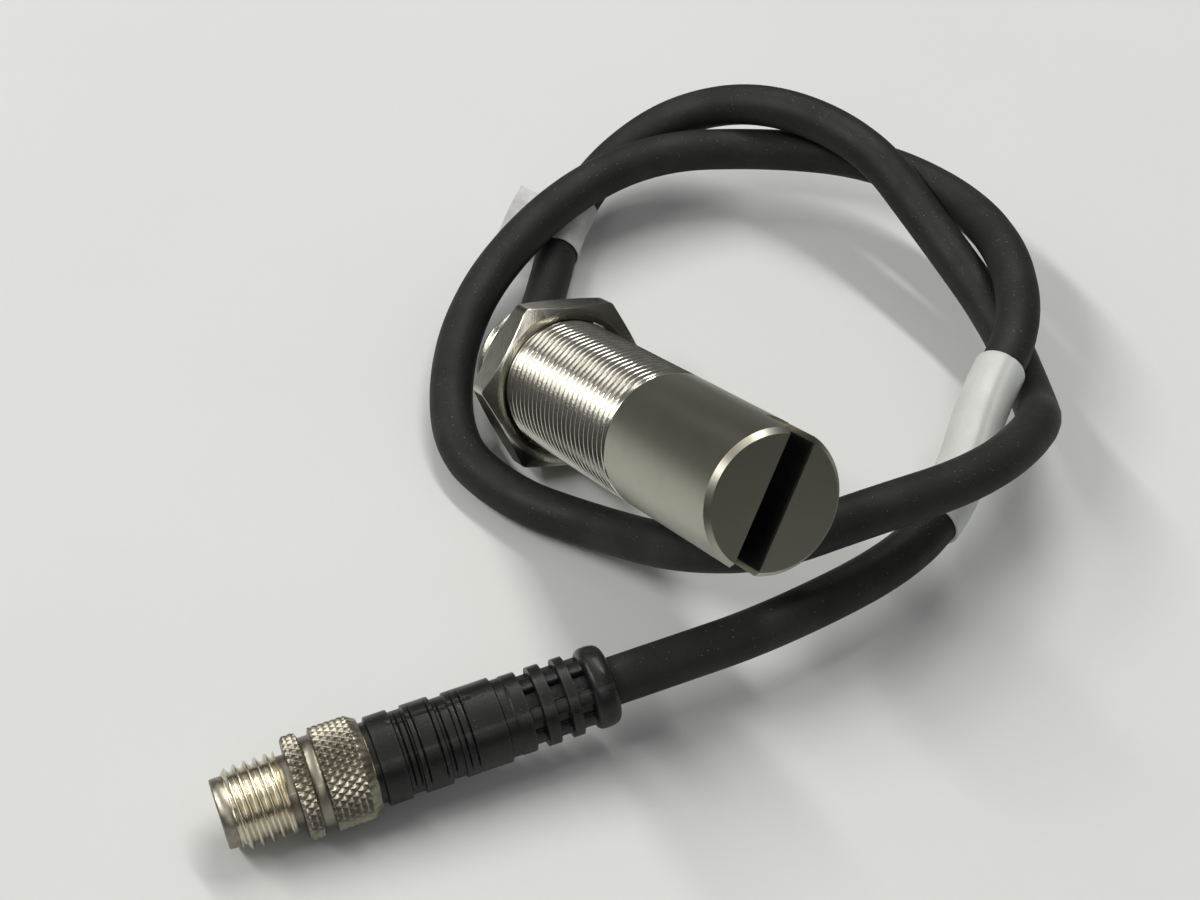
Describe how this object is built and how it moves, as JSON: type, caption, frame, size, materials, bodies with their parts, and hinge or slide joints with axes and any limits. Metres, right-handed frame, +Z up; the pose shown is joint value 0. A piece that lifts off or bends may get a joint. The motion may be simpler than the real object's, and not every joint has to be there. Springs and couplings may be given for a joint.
{
  "type": "slotted-face proximity sensor with cable and screw plug",
  "caption": "Cylindrical proximity sensor: threaded metal barrel with a slotted sensing face, lock nut, coiled black cable and male screw plug.",
  "frame": {"origin": "on the table under the middle of the barrel, nut and gland", "axes": "+Z up, +X the way the barrel's face looks seen from above, +Y to the barrel's left"},
  "size_m": [0.0799, 0.1077, 0.0342],
  "materials": {
    "satin_nickel": "satin nickel plate",
    "bright_nickel": "bright nickel plate",
    "plug_nickel": "bright nickel plate, knurled",
    "window_plastic": "satin",
    "ferrite": "sintered",
    "bobbin_plastic": "satin",
    "copper": "enamelled",
    "carrier_plastic": "satin",
    "board": "solder mask",
    "chips": "moulded",
    "sleeve_film": "film",
    "resin": "cast",
    "wire_insulation": "satin",
    "gland_plastic": "satin",
    "seal_rubber": "matte",
    "cable_jacket": "matte",
    "label_film": "translucent film",
    "sleeve_plastic": "semi-gloss",
    "boot_plastic": "semi-gloss",
    "contact_gold": "gold plate",
    "plug_core_brass": "turned",
    "spring_steel": "spring temper"
  },
  "bodies": {
    "sensor_and_cable": {"threaded_barrel": "satin_nickel", "sensing_window": "window_plastic", "ferrite_core": "ferrite", "coil_bobbin": "bobbin_plastic", "coil_winding": "copper", "core_carrier": "carrier_plastic", "circuit_board": "board", "board_components": "chips", "insulating_sleeve": "sleeve_film", "potting_plug": "resin", "sensor_wires": "wire_insulation", "rear_gland": "gland_plastic", "gland_seal": "seal_rubber", "cable": "cable_jacket", "flag_label": "label_film", "marker_sleeve": "sleeve_plastic", "contact_carrier": "carrier_plastic", "contact_pins": "contact_gold", "plug_core": "plug_core_brass", "ring_clip": "spring_steel", "plug_wires": "wire_insulation", "strain_relief_boot": "boot_plastic"},
    "washer": {"lock_washer": "bright_nickel"},
    "nut": {"lock_nut": "bright_nickel"},
    "coupling": {"coupling_ring": "plug_nickel"}
  },
  "joints": [
    {"name": "washer_slide", "type": "slide", "parent": "sensor_and_cable", "child": "washer", "axis": [0.9063, 0, 0.4226], "range_m": [-0.003, 0.01]},
    {"name": "nut_spin", "type": "hinge", "parent": "washer", "child": "nut", "pos_m": [-0.01638, 0, 0.0091], "axis": [0.9063, 0, 0.4226], "range_deg": [-1080, 3600]},
    {"name": "coupling_spin", "type": "hinge", "parent": "sensor_and_cable", "child": "coupling", "pos_m": [0.0149, -0.0523, 0.00442], "axis": [0.1439, 0.9865, 0.0785], "continuous": true}
  ],
  "couplings": [
    {"joint": "nut_spin", "follows": "washer_slide", "rad_per_m": 6283.2}
  ]
}
